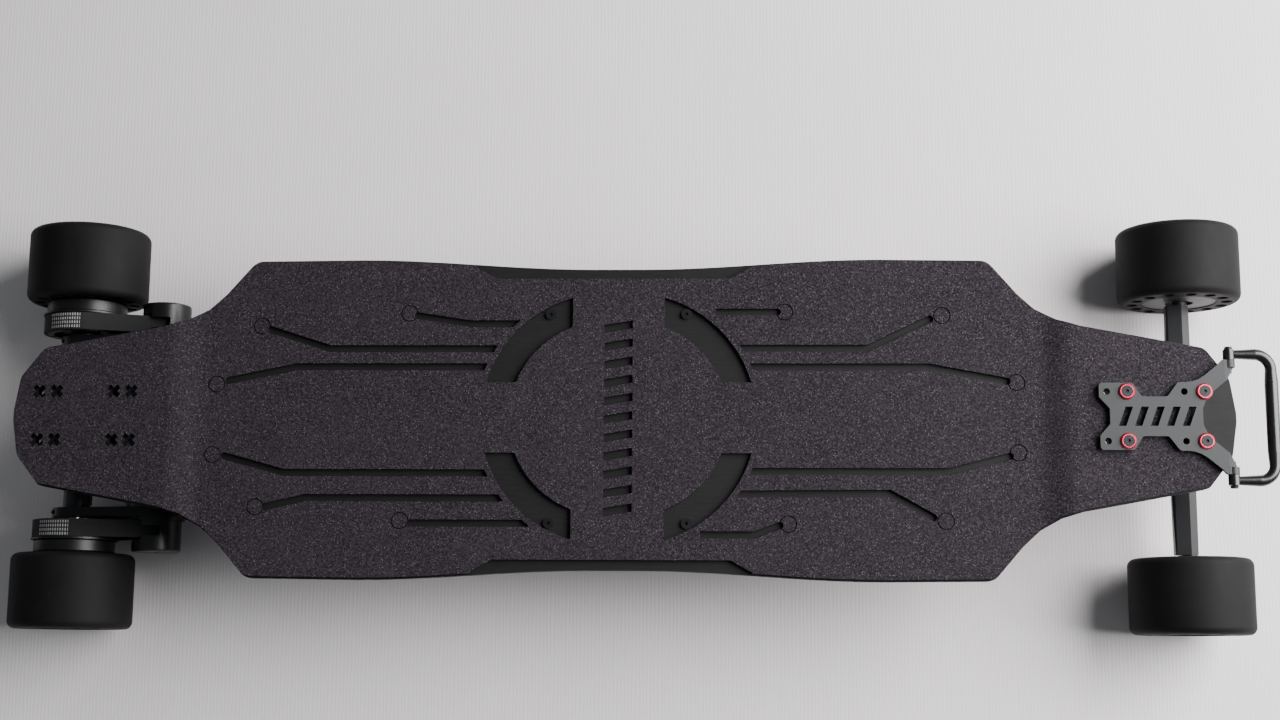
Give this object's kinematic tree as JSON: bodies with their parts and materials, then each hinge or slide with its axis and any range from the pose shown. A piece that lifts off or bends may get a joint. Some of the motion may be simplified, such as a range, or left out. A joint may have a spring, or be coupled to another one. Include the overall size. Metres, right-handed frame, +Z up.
{
  "type": "electric skateboard",
  "caption": "Long electric skateboard with a dropped deck, grooved foam grip, steering trucks, belt-driven rear wheels and a folding carry handle.",
  "frame": {"origin": "on the floor under the middle of the board's bounding box", "axes": "+X towards the nose, +Y to the rider's left, +Z up"},
  "size_m": [1.08, 0.3536, 0.1427],
  "materials": {
    "deck_laminate": "satin black laminate",
    "grip_foam": "rough foam with fine light speckle",
    "bracket_metal": "matte dark grey",
    "red_anodised": "anodised red",
    "black_steel": "black oxide",
    "bright_steel": "machined",
    "soft_rubber": "matte",
    "truck_casting": "black powder coat",
    "bushing_urethane": "cast urethane",
    "box_plastic": "fine grain",
    "cell_wrap": "shrink wrap",
    "circuit_board": "solder mask",
    "sink_metal": "anodised grey",
    "cable_sleeve": "braided sleeve",
    "handle_gloss": "gloss black",
    "button_metal": "brushed",
    "mount_metal": "black anodised",
    "motor_black": "black anodised",
    "belt_rubber": "matte with fine ribs",
    "cover_plastic": "satin",
    "pulley_metal": "machined",
    "tyre_rubber": "satin urethane",
    "core_plastic": "moulded grey",
    "bearing_steel": "polished with dark shields"
  },
  "bodies": {
    "board": {"deck": "deck_laminate", "grip_foam": "grip_foam", "front_bracket": "bracket_metal", "cup_washers": "red_anodised", "truck_bolts": "black_steel", "truck_nuts": "bright_steel", "risers": "soft_rubber", "baseplate_front": "truck_casting", "baseplate_rear": "truck_casting", "pivot_cups": "bushing_urethane", "kingpins": "bright_steel", "bushings_front": "bushing_urethane", "bushings_rear": "bushing_urethane", "kingpin_washers": "bright_steel", "kingpin_nuts": "bright_steel", "battery_box": "box_plastic", "box_screws": "black_steel", "battery_cells": "cell_wrap", "speed_controller": "circuit_board", "heat_sink": "sink_metal", "charge_port": "box_plastic", "cable_glands": "box_plastic", "motor_cables": "cable_sleeve", "handle_bolts": "black_steel"},
    "carry_handle": {"handle": "handle_gloss"},
    "button": {"power_button": "button_metal"},
    "cap": {"charge_cap": "soft_rubber"},
    "front_hanger": {"hanger_front": "truck_casting", "axle_front": "bright_steel", "axle_hardware_front": "bright_steel"},
    "rear_hanger": {"hanger_rear": "truck_casting", "axle_rear": "bright_steel", "axle_hardware_rear": "bright_steel", "motor_mount_left": "mount_metal", "motor_mount_right": "mount_metal", "motor_case_left": "motor_black", "motor_case_right": "motor_black", "belt_left": "belt_rubber", "belt_right": "belt_rubber", "belt_cover_left": "cover_plastic", "belt_cover_right": "cover_plastic", "drive_screws": "black_steel"},
    "rotor_left": {"motor_rotor_left": "bright_steel", "motor_pulley_left": "pulley_metal"},
    "rotor_right": {"motor_rotor_right": "bright_steel", "motor_pulley_right": "pulley_metal"},
    "wheel_front_left": {"tyre_front_left": "tyre_rubber", "core_front_left": "core_plastic", "bearings_front_left": "bearing_steel"},
    "wheel_front_right": {"tyre_front_right": "tyre_rubber", "core_front_right": "core_plastic", "bearings_front_right": "bearing_steel"},
    "wheel_rear_left": {"tyre_rear_left": "tyre_rubber", "core_rear_left": "core_plastic", "bearings_rear_left": "bearing_steel", "wheel_pulley_left": "pulley_metal"},
    "wheel_rear_right": {"tyre_rear_right": "tyre_rubber", "core_rear_right": "core_plastic", "bearings_rear_right": "bearing_steel", "wheel_pulley_right": "pulley_metal"}
  },
  "joints": [
    {"name": "front_lean", "type": "hinge", "parent": "board", "child": "front_hanger", "pos_m": [0.483, 0, 0.0525], "axis": [0.7071, 0, 0.7071], "range_deg": [-16, 16], "stiffness_Nm_per_rad": 60, "deforming": ["bushings_front"]},
    {"name": "rear_lean", "type": "hinge", "parent": "board", "child": "rear_hanger", "pos_m": [-0.4875, 0, 0.0525], "axis": [-0.7071, 0, 0.7071], "range_deg": [-16, 16], "stiffness_Nm_per_rad": 60, "deforming": ["bushings_rear", "motor_cables"]},
    {"name": "spin_front_left", "type": "hinge", "parent": "front_hanger", "child": "wheel_front_left", "pos_m": [0.483, 0.1443, 0.0525], "axis": [0, 1, 0], "continuous": true},
    {"name": "spin_front_right", "type": "hinge", "parent": "front_hanger", "child": "wheel_front_right", "pos_m": [0.483, -0.1443, 0.0525], "axis": [0, 1, 0], "continuous": true},
    {"name": "spin_rear_left", "type": "hinge", "parent": "rear_hanger", "child": "wheel_rear_left", "pos_m": [-0.4875, 0.1443, 0.0525], "axis": [0, 1, 0], "continuous": true, "deforming": ["belt_left"]},
    {"name": "spin_rear_right", "type": "hinge", "parent": "rear_hanger", "child": "wheel_rear_right", "pos_m": [-0.4875, -0.1443, 0.0525], "axis": [0, 1, 0], "continuous": true, "deforming": ["belt_right"]},
    {"name": "motor_left", "type": "hinge", "parent": "rear_hanger", "child": "rotor_left", "pos_m": [-0.41492, 0.09, 0.0525], "axis": [0, 1, 0], "continuous": true},
    {"name": "motor_right", "type": "hinge", "parent": "rear_hanger", "child": "rotor_right", "pos_m": [-0.41492, -0.09, 0.0525], "axis": [0, 1, 0], "continuous": true},
    {"name": "handle_fold", "type": "hinge", "parent": "board", "child": "carry_handle", "pos_m": [0.5005, 0, 0.134], "axis": [0, 1, 0], "range_deg": [0, 80]},
    {"name": "button_press", "type": "slide", "parent": "board", "child": "button", "axis": [0, 1, 0], "range_m": [0, 0.0012], "stiffness_N_per_m": 300},
    {"name": "cap_swing", "type": "hinge", "parent": "board", "child": "cap", "pos_m": [0.238, -0.0946, 0.093], "axis": [0, 0, -1], "range_deg": [0, 120]}
  ],
  "couplings": [
    {"joint": "motor_left", "follows": "spin_rear_left", "ratio": 2.9333},
    {"joint": "motor_right", "follows": "spin_rear_right", "ratio": 2.9333}
  ]
}
